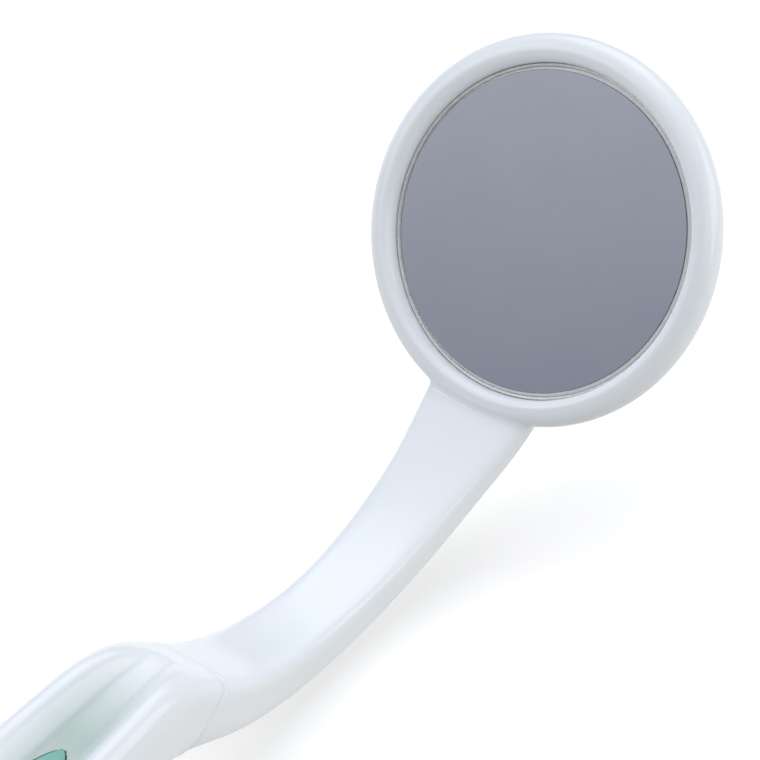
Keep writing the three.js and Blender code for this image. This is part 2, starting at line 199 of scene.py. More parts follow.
def smooth_curve(points, t):
    """A centripetal Catmull-Rom curve through the points, at each t from 0 to 1."""
    points = np.asarray(points, float)
    before = 2 * points[0] - points[1]
    after = 2 * points[-1] - points[-2]
    padded = np.vstack([before, points, after])
    place = np.clip(t, 0, 1) * (len(points) - 1)
    k = np.minimum(place.astype(int), len(points) - 2)
    w = (place - k)[..., None]
    p0, p1, p2, p3 = (padded[k + i] for i in range(4))
    d0, d1, d2 = (
        np.sqrt(np.linalg.norm(b - a, axis=-1, keepdims=True)) for a, b in ((p0, p1), (p1, p2), (p2, p3))
    )
    m1 = ((p1 - p0) / d0 - (p2 - p0) / (d0 + d1) + (p2 - p1) / d1) * d1
    m2 = ((p2 - p1) / d1 - (p3 - p1) / (d1 + d2) + (p3 - p2) / d2) * d1
    c2 = 3 * (p2 - p1) - 2 * m1 - m2
    c3 = 2 * (p1 - p2) + m1 + m2
    return p1 + w * (m1 + w * (c2 + w * c3))


def smoothstep(x, low, high):
    s = np.clip((x - low) / (high - low), 0, 1)
    return s * s * (3 - 2 * s)


def faired_curve(points, t, reach=0.45):
    """The smooth curve with its bends at the key points softened, so that highlights run on smoothly."""
    spans = len(points) - 1
    room = np.minimum(np.minimum(t, 1 - t), reach / spans)
    weights = {-1: 1, -0.5: 4, 0: 6, 0.5: 4, 1: 1}
    total = sum(w * smooth_curve(points, t + shift * room) for shift, w in weights.items())
    return total / sum(weights.values())


# ---- the outside of the neck and grip ----

TOPS = [s[0] for s in KEY_SECTIONS]
BOTTOMS = [s[1] for s in KEY_SECTIONS]
HALVES = [(i, s[2]) for i, s in enumerate(KEY_SECTIONS)]
SQUARES = [(i, s[3], s[4]) for i, s in enumerate(KEY_SECTIONS)]


def recess_at(x, y):
    """How far the thumb recess lowers the grip's top."""
    behind_tip = np.maximum(0, RECESS_TIP - x)
    fade = smoothstep(-x, *RECESS_FADE)
    depth = RECESS_DEPTH * (1 - np.exp(-behind_tip / RECESS_RUN_IN)) * (1 - fade)
    half_width = RECESS_HALF_WIDTH * np.sqrt(1 - np.exp(-(behind_tip + RECESS_LEAD) / RECESS_SPREAD))
    return depth / (1 + (np.abs(y) / half_width) ** RECESS_WALL)


def skin(t, turn):
    """Points on the handle's outside: t runs from the head to the tail, and turn goes round from the top."""
    top = faired_curve(TOPS, t)
    bottom = faired_curve(BOTTOMS, t)
    half = faired_curve(HALVES, t)[..., 1]
    squares = faired_curve(SQUARES, t)
    side = np.sin(turn)
    is_upper = np.cos(turn) >= 0
    square = np.where(is_upper, squares[..., 1], squares[..., 2])
    rise = np.maximum(0, 1 - np.abs(side) ** square) ** (1 / square)
    along_up = np.where(is_upper, rise, -rise)[..., None]
    flat = (top + bottom) / 2 + along_up * (top - bottom) / 2
    y = half * side
    x = flat[..., 0]
    z = flat[..., 1] - np.where(is_upper, recess_at(x, y), 0)
    return np.stack([x, y, np.maximum(z, GRIP_UNDERSIDE)], axis=-1)


def turns(count=900):
    """Turns once round a section, close together where its sides stand upright."""
    even = np.linspace(0, 2 * math.pi, count, endpoint=False)
    quarter = np.linspace(0, math.pi / 2, count // 4)
    steep = np.arcsin(np.sqrt(np.sin(quarter)))
    mirrored = np.concatenate([steep, math.pi - steep, math.pi + steep, 2 * math.pi - steep])
    return np.unique(np.round(np.concatenate([even, mirrored % (2 * math.pi)]), 7))


TURNS = turns()


def first_crossing(value_at, low, high, steps=40):
    """For each turn, the t between low and high at which value_at(t) rises through zero."""
    low = np.full(TURNS.shape, float(low))
    high = np.full(TURNS.shape, float(high))
    for _ in range(steps):
        middle = (low + high) / 2
        is_past = value_at(middle) > 0
        high = np.where(is_past, middle, high)
        low = np.where(is_past, low, middle)
    return (low + high) / 2


def even_rings(rings, count):
    """Each ring again with count points, the same distance apart all the way round."""
    closed = np.concatenate([rings, rings[:, :1]], axis=1)
    steps = np.linalg.norm(np.diff(closed, axis=1), axis=-1)
    length = np.concatenate([np.zeros((len(rings), 1)), np.cumsum(steps, axis=1)], axis=1)
    result = np.empty((len(rings), count, 3))
    for k in range(len(rings)):
        wanted = np.linspace(0, length[k, -1], count, endpoint=False)
        for axis in range(3):
            result[k, :, axis] = np.interp(wanted, length[k], closed[k, :, axis])
    return result


# ---- the seam between the neck and the grip ----

seam_slant = (SEAM_TOP - SEAM_BOTTOM) / np.linalg.norm(SEAM_TOP - SEAM_BOTTOM)
SEAM_NORMAL = np.array([-seam_slant[2], 0, seam_slant[0]])  # towards the grip's side


def beyond_seam(points):
    return (points - SEAM_TOP) @ SEAM_NORMAL


def inset(ring, normal, distance):
    """A ring in a plane with this normal, drawn in towards its middle."""
    along = np.roll(ring, -1, axis=0) - np.roll(ring, 1, axis=0)
    inward = np.cross(along, normal)
    inward /= np.maximum(np.linalg.norm(inward, axis=-1, keepdims=True), 1e-9)
    if np.sum(inward * (ring.mean(axis=0) - ring)) < 0:
        inward = -inward
    return ring + distance * inward


def rounded_end(ring, outward, radius, steps=7):
    """The rings that carry an end face's edge round, from the ring where the rounding starts."""
    rings = []
    for angle in np.linspace(0, math.pi / 2, steps)[1:]:
        drawn_in = inset(ring, outward, radius * (1 - math.cos(angle)))
        rings.append(drawn_in + outward * radius * math.sin(angle))
    return rings


def flattened(ring, offset):
    """A ring moved onto the plane at this offset from the seam."""
    return ring + np.outer(offset - beyond_seam(ring), SEAM_NORMAL)


# ---- meshes ----

def to_frame(points):
    return np.asarray(points) * MM + RIM_MIDDLE


def tilted(points):
    """Points of the head, given as (up its slope, across, off its face), in the handle's axes."""
    points = np.asarray(points)
    return points @ np.stack([FACE_UP, FACE_SIDE, FACE_NORMAL])


def mesh_piece(name, vertices, faces):
    mesh = bpy.data.meshes.new(name)
    mesh.from_pydata(to_frame(vertices).tolist(), [], faces)
    piece = bpy.data.objects.new(name, mesh)
    bpy.context.scene.collection.objects.link(piece)
    face_outward(mesh)
    return piece


def face_outward(mesh):
    """Turn every face to the outside of its closed body."""
    work = bmesh.new()
    work.from_mesh(mesh)
    bmesh.ops.recalc_face_normals(work, faces=work.faces)
    if work.calc_volume(signed=True) < 0:
        bmesh.ops.reverse_faces(work, faces=work.faces)
    work.to_mesh(mesh)
    work.free()


def loft(name, rings):
    """A closed skin over rings of points, with a fan of triangles on each end."""
    rings = np.asarray(rings)
    count, size = rings.shape[:2]
    vertices = rings.reshape(-1, 3).tolist()
    faces = []
    for k in range(count - 1):
        a = k * size
        for i in range(size):
            j = (i + 1) % size
            faces.append((a + i, a + j, a + size + j, a + size + i))
    for k in (0, count - 1):
        middle = len(vertices)
        vertices.append(rings[k].mean(axis=0).tolist())
        faces += [(middle, k * size + i, k * size + (i + 1) % size) for i in range(size)]
    return mesh_piece(name, vertices, faces)


def turned(name, profile, shift_at, sides=240):
    """A body turned round the mirror's axis, from a profile of (radius, height) that ends on the axis.

    Each ring is shifted up the slope of the mirror's face by shift_at(radius, height).
    """
    profile = np.asarray(profile)
    angles = np.linspace(0, 2 * math.pi, sides, endpoint=False)
    inner = profile[1:-1]
    vertices = [tilted((shift_at(*end), 0, end[1])) for end in (profile[0], profile[-1])]
    for radius, height in inner:
        up = radius * np.cos(angles) + shift_at(radius, height)
        vertices.extend(tilted(np.stack([up, radius * np.sin(angles), np.full(sides, height)], axis=-1)))
    faces = []
    last = 2 + (len(inner) - 1) * sides
    for i in range(sides):
        j = (i + 1) % sides
        faces.append((0, 2 + i, 2 + j))
        faces.append((1, last + j, last + i))
        for k in range(len(inner) - 1):
            a = 2 + k * sides
            faces.append((a + i, a + sides + i, a + sides + j, a + j))
    return mesh_piece(name, vertices, faces)


def arc(centre, radius, start, end, steps):
    angles = np.linspace(start, end, steps)
    return [(centre[0] + radius * math.cos(a), centre[1] + radius * math.sin(a)) for a in angles]


def drop_slivers(mesh):
    """Merge points that are all but the same, so that no face has an area of nothing."""
    work = bmesh.new()
    work.from_mesh(mesh)
    bmesh.ops.remove_doubles(work, verts=work.verts, dist=SAME_POINT)
    bmesh.ops.dissolve_degenerate(work, edges=work.edges, dist=SAME_POINT)
    work.to_mesh(mesh)
    work.free()


def combine(piece, other, operation):
    """Join another closed body to the piece, or cut it away, and remove the other body."""
    modifier = piece.modifiers.new("combine", "BOOLEAN")
    modifier.operation = operation
    modifier.solver = "MANIFOLD"
    modifier.object = other
    graph = bpy.context.evaluated_depsgraph_get()
    result = bpy.data.meshes.new_from_object(piece.evaluated_get(graph))
    piece.modifiers.clear()
    old = piece.data
    piece.data = result
    result.name = piece.name
    drop_slivers(result)
    bpy.data.meshes.remove(old)
    bpy.data.objects.remove(other, do_unlink=True)


def finish_piece(piece, node, material, sharp_from=35):
    """Give the piece a material, smooth shading with sharp edges at corners, and its place in the table."""
    piece.data.materials.clear()
    piece.data.materials.append(material)
    piece.data.shade_smooth()
    piece.data.set_sharp_from_angle(angle=math.radians(sharp_from))
    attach(piece, "root")
    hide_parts(node)
    return piece


# ---- the cup ----

def cup_outside():
    """The cup's profile from the crest of its rim round to the middle of its back."""
    bead = arc((BEAD_RING_RADIUS, 0), BEAD_RADIUS, math.pi / 2, BEAD_UNDERCUT, steps=64)
    end = np.array(bead[-1])
    drop = (end[1] - CUP_BACK) / math.cos(BEAD_UNDERCUT)
    corner = np.array([end[0] + drop * math.sin(BEAD_UNDERCUT), CUP_BACK])
    back = np.array([CUP_BACK_FLAT_RADIUS, CUP_BACK])
    s = np.linspace(0, 1, 30)[1:, None]
    underside = (1 - s) ** 2 * end + 2 * s * (1 - s) * corner + s**2 * back
    flat = [(r, CUP_BACK) for r in np.linspace(CUP_BACK_FLAT_RADIUS, 0, 24)[1:]]
    return [*bead, *underside, *flat]


def cup_profile():
    """The whole profile: the floor, a rounded corner, the upright wall, and the lip up to the crest."""
    corner_middle = (OPENING_RADIUS - FLOOR_ROUND, CUP_FLOOR + FLOOR_ROUND)
    corner = arc(corner_middle, FLOOR_ROUND, -math.pi / 2, 0, steps=6)
    wall = [(OPENING_RADIUS, z) for z in np.linspace(CUP_FLOOR + FLOOR_ROUND, LIP_HEIGHT, 12)[1:-1]]
    width, rise = BEAD_RING_RADIUS - OPENING_RADIUS, BEAD_RADIUS - LIP_HEIGHT
    turn = np.linspace(math.pi, math.pi / 2, 24)
    lip = [(BEAD_RING_RADIUS + width * math.cos(a), LIP_HEIGHT + rise * math.sin(a)) for a in turn]
    return [(0, CUP_FLOOR), *corner, *wall, *lip[:-1], *cup_outside()]


def opening_shift(radius, height):
    """How far the cup's inside sits towards the neck. It fades out from the wall to the rim's crest."""
    if height < CUP_FLOOR - LAYER_GAP:
        return 0
    return OPENING_SHIFT * np.clip((BEAD_RING_RADIUS - radius) / (BEAD_RING_RADIUS - OPENING_RADIUS), 0, 1)


CUP_PROFILE = np.array(cup_profile())


def off_cup(points):
    """Signed distance from the outside of the cup, positive in the open."""
    points = np.asarray(points)
    up, off = points @ FACE_UP, points @ FACE_NORMAL
    spot = np.stack([np.hypot(up, points[..., 1]), off], axis=-1)
    edge = np.array(cup_outside())
    a, b = edge[:-1], edge[1:]
    along = b - a
    from_a = spot[..., None, :] - a
    share = np.clip((from_a * along).sum(-1) / (along * along).sum(-1), 0, 1)
    apart = from_a - share[..., None] * along
    distance = np.linalg.norm(apart, axis=-1)
    nearest = distance.argmin(axis=-1)
    pick = np.take_along_axis(distance, nearest[..., None], axis=-1)[..., 0]
    cross = along[..., 0] * from_a[..., 1] - along[..., 1] * from_a[..., 0]
    sign = np.take_along_axis(cross, nearest[..., None], axis=-1)[..., 0]
    return np.where(sign > 0, pick, -pick)


# ---- the neck ----

def unit(vectors):
    return vectors / np.maximum(np.linalg.norm(vectors, axis=-1, keepdims=True), 1e-12)


def skin_normal(t):
    """Unit normals of the handle's outside at each turn, pointing out of it."""
    small = 1e-4
    along = skin(t + small, TURNS) - skin(t - small, TURNS)
    around = skin(t, TURNS + small) - skin(t, TURNS - small)
    return unit(np.cross(around, along))


def cup_normal(points):
    """The direction in which the distance from the cup grows fastest."""
    small = 1e-3
    steps = [off_cup(points + small * axis) - off_cup(points - small * axis) for axis in np.eye(3)]
    return unit(np.stack(steps, axis=-1))


def fillet_rings(steps=16):
    """A fillet rolled along the corner between the cup and the neck, and the t where it meets the neck.

    Its rings run from the inside of the cup, out of its surface and up to the neck's.
    """
    def room(t):
        return off_cup(skin(t, TURNS) + NECK_FILLET * skin_normal(t)) - NECK_FILLET

    at_neck = first_crossing(room, *FILLET_SEARCH)
    on_neck = skin(at_neck, TURNS)
    to_neck = -skin_normal(at_neck)
    centre = on_neck - NECK_FILLET * to_neck
    to_cup = -cup_normal(centre)
    opening = np.arccos(np.clip((to_neck * to_cup).sum(-1, keepdims=True), -1, 1))
    rings = [centre + to_cup * (NECK_FILLET + depth) for depth in FILLET_ROOTS]
    for s in np.linspace(0, 1, steps):
        way = (np.sin((1 - s) * opening) * to_cup + np.sin(s * opening) * to_neck) / np.sin(opening)
        rings.append(centre + (NECK_FILLET + FILLET_DIP * (1 - s) ** 4) * way)
    return rings, at_neck


def neck_rings():
    """Rings of the neck from inside the cup, out through the fillet and along to the rounded seam."""
    fillet, at_neck = fillet_rings()
    at_seam = first_crossing(lambda t: beyond_seam(skin(t, TURNS)) + SEAM_ROUND, *SEAM_SEARCH)
    shares = np.linspace(0, 1, NECK_RINGS)[1:]
    rest = [skin(at_neck + share * (at_seam - at_neck), TURNS) for share in shares]
    rings = even_rings(np.array(fillet + rest), NECK_SIDES)
    end = flattened(rings[-1], -SEAM_ROUND)
    return [*rings[:-1], end, *rounded_end(end, SEAM_NORMAL, SEAM_ROUND)]


def tang_bar(name, growth, sides=48, stations=90):
    """The flat bar that carries the neck inside the grip."""
    t = np.linspace(0, 1, stations)
    centres = smooth_curve(TANG_LINE, t)
    along = np.gradient(centres, axis=0)
    along /= np.linalg.norm(along, axis=-1, keepdims=True)
    centres[-1] += along[-1] * growth
    turn = np.linspace(0, 2 * math.pi, sides, endpoint=False)
    side = np.sin(turn)
    rise = np.maximum(0, 1 - side**TANG_SQUARE) ** (1 / TANG_SQUARE) * np.sign(np.cos(turn))
    rings = []
    for centre, (ax, az) in zip(centres, along):
        lift = rise * (TANG_HALF_THICKNESS + growth)
        x = centre[0] - az * lift
        z = centre[1] + ax * lift
        rings.append(np.stack([x, side * (TANG_HALF_WIDTH + growth), z], axis=-1))
    return loft(name, rings)


def lock_post(name, radius, sides=48):
    """The upright post that crosses the tang at its lock hole."""
    turn = np.linspace(0, 2 * math.pi, sides, endpoint=False)
    half = 3 * TANG_HALF_THICKNESS
    x = LOCK_HOLE[0] + radius * np.cos(turn)
    y = radius * np.sin(turn)
    rings = [np.stack([x, y, np.full(sides, LOCK_HOLE[1] + height)], axis=-1) for height in (-half, half)]
    return loft(name, rings)


def cup_and_neck(material):
    piece = turned("cup_and_neck", CUP_PROFILE, opening_shift)
    combine(piece, loft("neck", neck_rings()), "UNION")
    tang = tang_bar("tang", 0)
    combine(tang, lock_post("hole", LOCK_HOLE_RADIUS), "DIFFERENCE")
    combine(piece, tang, "UNION")
    return finish_piece(piece, "head_and_neck", material)


# ---- the grip ----

def grip_rings():
    """Rings of the grip from the rounded seam to the tail, close together round the recess's tip."""
    start_at = SEAM_GAP + SEAM_ROUND
    at_seam = first_crossing(lambda t: beyond_seam(skin(t, TURNS)) - start_at, *SEAM_SEARCH)
    fine = [at_seam + share * (GRIP_FINE_END - at_seam) for share in np.linspace(0, 1, GRIP_FINE_RINGS)]
    coarse = [np.full(TURNS.shape, t) for t in np.linspace(GRIP_FINE_END, 1, GRIP_COARSE_RINGS)[1:]]
    rings = even_rings(np.array([skin(t, TURNS) for t in fine + coarse]), GRIP_SIDES)
    start = flattened(rings[0], start_at)
    return [*rounded_end(start, -SEAM_NORMAL, SEAM_ROUND)[::-1], start, *rings[1:]]


def ribs_at(x):
    """How far the ribs across the insert stand up."""
    inside = smoothstep(-x, -RIB_FIRST - 1, -RIB_FIRST) * smoothstep(x, RIB_LAST - 1, RIB_LAST)
    wave = np.maximum(0, np.cos(2 * math.pi * (x - RIB_FIRST) / RIB_PITCH))
    return inside * RIB_HEIGHT * wave**2


def grip_top_at(x):
    """The height of the grip's top, before the recess is taken out of it."""
    stations = 2000
    line = faired_curve(TOPS, np.linspace(0, 1, stations))
    behind_cup = line[stations // 10:][::-1]
    return np.interp(x, behind_cup[:, 0], behind_cup[:, 1])


def insert_body(name, growth, sides=72, stations=420):
    """The insert. With a growth it is the pocket that holds it, open at the top."""
    length = INSERT_FRONT - INSERT_BACK + 2 * growth
    share = 0.5 - 0.5 * np.cos(math.pi * np.linspace(0, 1, stations))
    x = (INSERT_FRONT + growth - share * length)[:, None]
    from_middle = (2 * x - INSERT_FRONT - INSERT_BACK) / (INSERT_FRONT - INSERT_BACK)
    half = INSERT_HALF_WIDTH * np.sqrt(np.maximum(0, 1 - np.abs(from_middle) ** INSERT_OUTLINE))
    half = np.maximum(INSERT_END_HALF_WIDTH, half) + growth
    turn = np.linspace(0, 2 * math.pi, sides, endpoint=False)[None, :]
    side = np.sin(turn)
    crown = np.sqrt(1 - side**INSERT_CROWN)
    surface = grip_top_at(x) - recess_at(x, half * side)
    proud = POCKET_MOUTH if growth else crown * (INSERT_PROUD + ribs_at(x))
    depth = (INSERT_DEPTH + growth) * np.maximum(INSERT_EDGE_SHARE, crown)
    z = surface + np.where(np.cos(turn) >= 0, proud, -depth)
    return loft(name, np.stack([x + 0 * side, half * side, z], axis=-1))


def grip(material):
    piece = loft("grip_shell", grip_rings())
    socket = tang_bar("socket", TANG_FIT)
    combine(socket, lock_post("post", LOCK_HOLE_RADIUS - TANG_FIT), "DIFFERENCE")
    combine(piece, socket, "DIFFERENCE")
    combine(piece, insert_body("pocket", INSERT_FIT), "DIFFERENCE")
    return finish_piece(piece, "grip", material)


def thumb_pad(material):
    return finish_piece(insert_body("thumb_pad", 0), "thumb_insert", material)


# ---- the mirror's layers ----

def disc_profile(radius, top, thickness, chamfer=0, soft=EDGE_ROUND):
    """One flat layer, with softened edges and a chamfer round its face where it has one."""
    bottom = top - thickness
    face = [(r, top) for r in np.linspace(0, radius - chamfer - soft, FLAT_RINGS)]
    if chamfer:
        edge = [
            (radius - chamfer, top - soft * SOFT_CORNER),
            (radius - soft * SOFT_CORNER, top - chamfer - soft * SOFT_CORNER),
            (radius, top - chamfer - soft),
        ]
    else:
        edge = arc((radius - soft, top - soft), soft, math.pi / 2, 0, steps=5)[1:]
    lower = arc((radius - soft, bottom + soft), soft, 0, -math.pi / 2, steps=5)
    back = [(r, bottom) for r in np.linspace(radius - soft, 0, FLAT_RINGS)[1:]]
    return [*face, *edge, *lower, *back]


def glue_profile(glass_radius):
    """The bed of glue under the glass, with its rounded rim pressed up round the glass's side."""
    outside = OPENING_RADIUS - GLUE_GAP
    inside = glass_radius + GLUE_GAP
    half = (outside - inside) / 2
    bottom = ADHESIVE_TOP - ADHESIVE_THICKNESS
    rim = GLASS_TOP - GLASS_CHAMFER
    bed = [(r, ADHESIVE_TOP) for r in np.linspace(0, inside, FLAT_RINGS)]
    inner = [(inside, z) for z in np.linspace(ADHESIVE_TOP, rim, WALL_RINGS)[1:-1]]
    turn = np.linspace(0, math.pi, 9)
    crest = [(inside + half * (1 - math.cos(a)), rim + GLUE_CROWN * math.sin(a)) for a in turn]
    outer = [(outside, z) for z in np.linspace(rim, bottom + GLUE_CORNER, WALL_RINGS)[1:-1]]
    corner_middle = (outside - GLUE_CORNER, bottom + GLUE_CORNER)
    corner = arc(corner_middle, GLUE_CORNER, 0, -math.pi / 2, steps=6)
    back = [(r, bottom) for r in np.linspace(outside - GLUE_CORNER, 0, FLAT_RINGS)[1:]]
    return [*bed, *inner, *crest, *outer, *corner, *back]


def finish_edge(piece, material):
    """Give a disc's edge, with any chamfer, another finish than its polished faces."""
    piece.data.materials.append(material)
    for polygon in piece.data.polygons:
        polygon.material_index = int(abs(np.dot(polygon.normal, FACE_NORMAL)) < POLISHED_FACE)


def turned_layer(name, profile):
    return turned(name, profile, lambda radius, height: OPENING_SHIFT, sides=360)


def flatten_faces(piece):
    """Shade the flat faces flat, so that the rounded edges beside them don't bend their reflections."""
    for polygon in piece.data.polygons:
        polygon.use_smooth = bool(abs(np.dot(polygon.normal, FACE_NORMAL)) < FLAT_FACE)


def mirror_layers(silver, edge_shading, glass, ground, adhesive):
    radius = OPENING_RADIUS - EDGE_GAP
    coat_profile = disc_profile(radius - GLASS_CHAMFER, FACE_HEIGHT, SILVER_THICKNESS, soft=SILVER_ROUND)
    coat = turned_layer("silver_layer", coat_profile)
    finish_piece(coat, "silver_coat", silver, sharp_from=25)
    flatten_faces(coat)
    # painted shade: the silver's edge gets a dark material for the dark line round the mirror
    finish_edge(coat, edge_shading)
    disc = turned_layer("glass_disc", disc_profile(radius, GLASS_TOP, GLASS_THICKNESS, GLASS_CHAMFER))
    finish_piece(disc, "mirror_glass", glass, sharp_from=25)
    flatten_faces(disc)
    finish_edge(disc, ground)
    glue = turned_layer("glue_bed", glue_profile(radius))
    finish_piece(glue, "adhesive_bed", adhesive)


# ---- materials ----

class Nodes:
    """A material's node tree, with short calls for the nodes that the finishes share."""

    def __init__(self, name):
        self.material = bpy.data.materials.new(name)
        self.material.use_nodes = True
        self.tree = self.material.node_tree
        self.shader = self.tree.nodes["Principled BSDF"]
        self.place = self.tree.nodes.new("ShaderNodeTexCoord").outputs["Object"]

    def link(self, source, target):
        self.tree.links.new(source, target)

    def noise(self, size, detail=3, roughness=0.5, stretch=None):
        """Noise with blotches about this many millimetres across, longer where the stretch is below 1."""
        node = self.tree.nodes.new("ShaderNodeTexNoise")
        node.inputs["Scale"].default_value = 1 / (size * MM)
        node.inputs["Detail"].default_value = detail
        node.inputs["Roughness"].default_value = roughness
        place = self.place
        if stretch:
            mapping = self.tree.nodes.new("ShaderNodeMapping")
            mapping.inputs["Scale"].default_value = stretch
            self.link(self.place, mapping.inputs["Vector"])
            place = mapping.outputs["Vector"]
        self.link(place, node.inputs["Vector"])
        return node.outputs["Fac"]

    def axis(self, name):
        """The point's place along one axis of the frame, in metres."""
        node = self.tree.nodes.new("ShaderNodeSeparateXYZ")
        self.link(self.place, node.inputs["Vector"])
        return node.outputs[name]

    def width(self):
        """How far the point is from the part's middle plane."""
        node = self.tree.nodes.new("ShaderNodeMath")
        node.operation = "ABSOLUTE"
        self.link(self.axis("Y"), node.inputs[0])
        return node.outputs["Value"]

    def mix_value(self, share, a, b):
        """A number between node output a, where the share is 0, and the constant b, where it is 1."""
        node = self.tree.nodes.new("ShaderNodeMix")
        self.link(share, node.inputs["Factor"])
        self.link(a, node.inputs["A"])
        node.inputs["B"].default_value = b
        return node.outputs["Result"]

    def span(self, value, low, high, out_low, out_high):
        """The value carried from low..high over to out_low..out_high, and held at its ends."""
        node = self.tree.nodes.new("ShaderNodeMapRange")
        node.inputs["From Min"].default_value = low
        node.inputs["From Max"].default_value = high
        node.inputs["To Min"].default_value = out_low
        node.inputs["To Max"].default_value = out_high
        self.link(value, node.inputs["Value"])
        return node.outputs["Result"]

    def times(self, a, b):
        node = self.tree.nodes.new("ShaderNodeMath")
        node.operation = "MULTIPLY"
        self.link(a, node.inputs[0])
        self.link(b, node.inputs[1])
        return node.outputs["Value"]

    def mix(self, share, a, b):
        """A colour between a and b, each a colour or another node's output."""
        node = self.tree.nodes.new("ShaderNodeMix")
        node.data_type = "RGBA"
        self.link(share, node.inputs["Factor"])
        for value, socket in ((a, node.inputs["A"]), (b, node.inputs["B"])):
            if isinstance(value, tuple):
                socket.default_value = (*value, 1)
            else:
                self.link(value, socket)
        return node.outputs["Result"]

    def bump(self, height, depth, under=None):
        """Raise the surface by up to this many millimetres where the height is 1."""
        node = self.tree.nodes.new("ShaderNodeBump")
        node.inputs["Distance"].default_value = depth * MM
        self.link(height, node.inputs["Height"])
        if under is not None:
            self.link(under, node.inputs["Normal"])
        return node.outputs["Normal"]

    def set(self, **values):
        """Set or link the shader's sockets, named with underscores for spaces."""
        for name, value in values.items():
            socket = self.shader.inputs[name.replace("_", " ")]
            if isinstance(value, bpy.types.NodeSocket):
                self.link(value, socket)
            else:
                socket.default_value = (*value, 1) if isinstance(value, tuple) else value


# Where painted shade and painted teal bounce light darken the white in the thumb recess, in millimetres
# from the rim's middle: each pair is where it starts to show and where it shows fully.
RECESS_SHADE_FRONT = (-42.5, -50)  # along x, at the recess's tip
RECESS_SHADE_BACK = (-107, -92)  # along x, where the recess runs out
RECESS_SHADE_SIDE = (2.8, 0.7)  # to either side
RECESS_SHADE_UPPER = (-12, -11)  # along z, so that none shows on the underside


def white_plastic():
    """Glossy bluish white moulded plastic with faint flow clouds, sink waves and dull smudges.

    In the thumb recess it is painted darker and teal: painted shade and painted teal bounce light from the
    insert. Its roughness stays below 0.27, because the denoiser leaves hard-edged marks on a surface whose
    roughness crosses about that value.
    """
    n = Nodes("white_plastic")
    clouds = n.noise(9, detail=2)
    white = n.mix(n.span(clouds, 0.35, 0.65, 0, 1), (0.795, 0.853, 0.915), (0.82, 0.87, 0.925))
    smudges = n.span(n.noise(7, detail=4), 0.48, 0.7, 0, 1)
    front = n.span(n.axis("X"), *(RIM_MIDDLE[0] + x * MM for x in RECESS_SHADE_FRONT), 0, 1)
    back = n.span(n.axis("X"), *(RIM_MIDDLE[0] + x * MM for x in RECESS_SHADE_BACK), 0, 1)
    inside = n.span(n.width(), *(y * MM for y in RECESS_SHADE_SIDE), 0, 1)
    upper = n.span(n.axis("Z"), *(RIM_MIDDLE[2] + z * MM for z in RECESS_SHADE_UPPER), 0, 1)
    # painted shade and painted teal bounce light, strongest deep in the thumb recess
    recess_shade = n.times(n.times(front, back), n.times(inside, upper))
    sheen = n.span(n.noise(2.2), 0.3, 0.7, 0.18, 0.23)
    waves = n.bump(n.noise(5, detail=1), 0.01)
    grain = n.bump(n.noise(0.25, detail=2), 0.0006, under=waves)
    n.set(
        Base_Color=n.mix(recess_shade, white, (0.44, 0.55, 0.515)),
        Roughness=n.mix_value(smudges, sheen, 0.265),
        Normal=grain,
        IOR=1.5,
    )
    return n.material


def teal_rubber():
    """Soft teal elastomer with a fine matt grain and faint clouds."""
    n = Nodes("teal_rubber")
    clouds = n.noise(3, detail=4)
    colour = n.mix(n.span(clouds, 0.35, 0.65, 0, 1), (0.20, 0.47, 0.42), (0.245, 0.52, 0.465))
    grain = n.bump(n.noise(0.18, detail=3), 0.012)
    n.set(
        Base_Color=colour,
        Roughness=n.span(n.noise(0.8), 0.3, 0.7, 0.5, 0.66),
        Normal=grain,
        IOR=1.45,
        Subsurface_Weight=0.1,
        Subsurface_Scale=1.0 * MM,
    )
    return n.material


def clear_glass():
    """Polished clear glass with a trace of haze."""
    n = Nodes("clear_glass")
    haze = n.span(n.noise(3.5, detail=5), 0.45, 0.8, 0, 0.03)
    tint = n.mix(n.noise(6), (0.965, 0.985, 0.98), (0.985, 0.995, 0.99))
    n.set(Base_Color=tint, Roughness=haze, Transmission_Weight=1.0, IOR=1.52)
    return n.material


def ground_glass():
    """The glass's ground edge: light grey, finely pitted and satin."""
    n = Nodes("ground_glass")
    pits = n.noise(0.12, detail=4, roughness=0.7)
    n.set(
        Base_Color=n.mix(n.span(pits, 0.35, 0.65, 0, 1), (0.90, 0.92, 0.93), (0.96, 0.97, 0.98)),
        Roughness=n.span(n.noise(0.6), 0.3, 0.7, 0.3, 0.45),
        Normal=n.bump(pits, 0.012),
        IOR=1.52,
    )
    return n.material


def silver_coat():
    """The reflecting coat on the glass's front, faintly mottled and with a few hairline wipe marks."""
    n = Nodes("silver_coat")
    mottle = n.span(n.noise(5, detail=3), 0.3, 0.7, 0, 1)
    wipes = n.times(
        n.span(n.noise(1.1, detail=2, stretch=(1, 0.06, 1)), 0.66, 0.7, 0, 1),
        n.span(n.noise(5), 0.52, 0.6, 0, 1),
    )
    polish = n.span(n.noise(2), 0.3, 0.7, 0.012, 0.03)
    n.set(
        Base_Color=n.mix(mottle, (0.737, 0.767, 0.795), (0.763, 0.793, 0.815)),
        Roughness=n.mix_value(wipes, polish, 0.09),
        Metallic=1.0,
    )
    return n.material


def painted_edge_shade():
    """The silver's outermost edge, dull and dark: painted shade for the dark line round the mirror."""
    n = Nodes("painted_edge_shade")
    patches = n.span(n.noise(0.5, detail=3), 0.35, 0.65, 0, 1)
    n.set(
        Base_Color=n.mix(patches, (0.10, 0.105, 0.11), (0.20, 0.205, 0.21)),
        Roughness=n.span(n.noise(0.4), 0.3, 0.7, 0.3, 0.45),
        Metallic=0.3,
    )
    return n.material


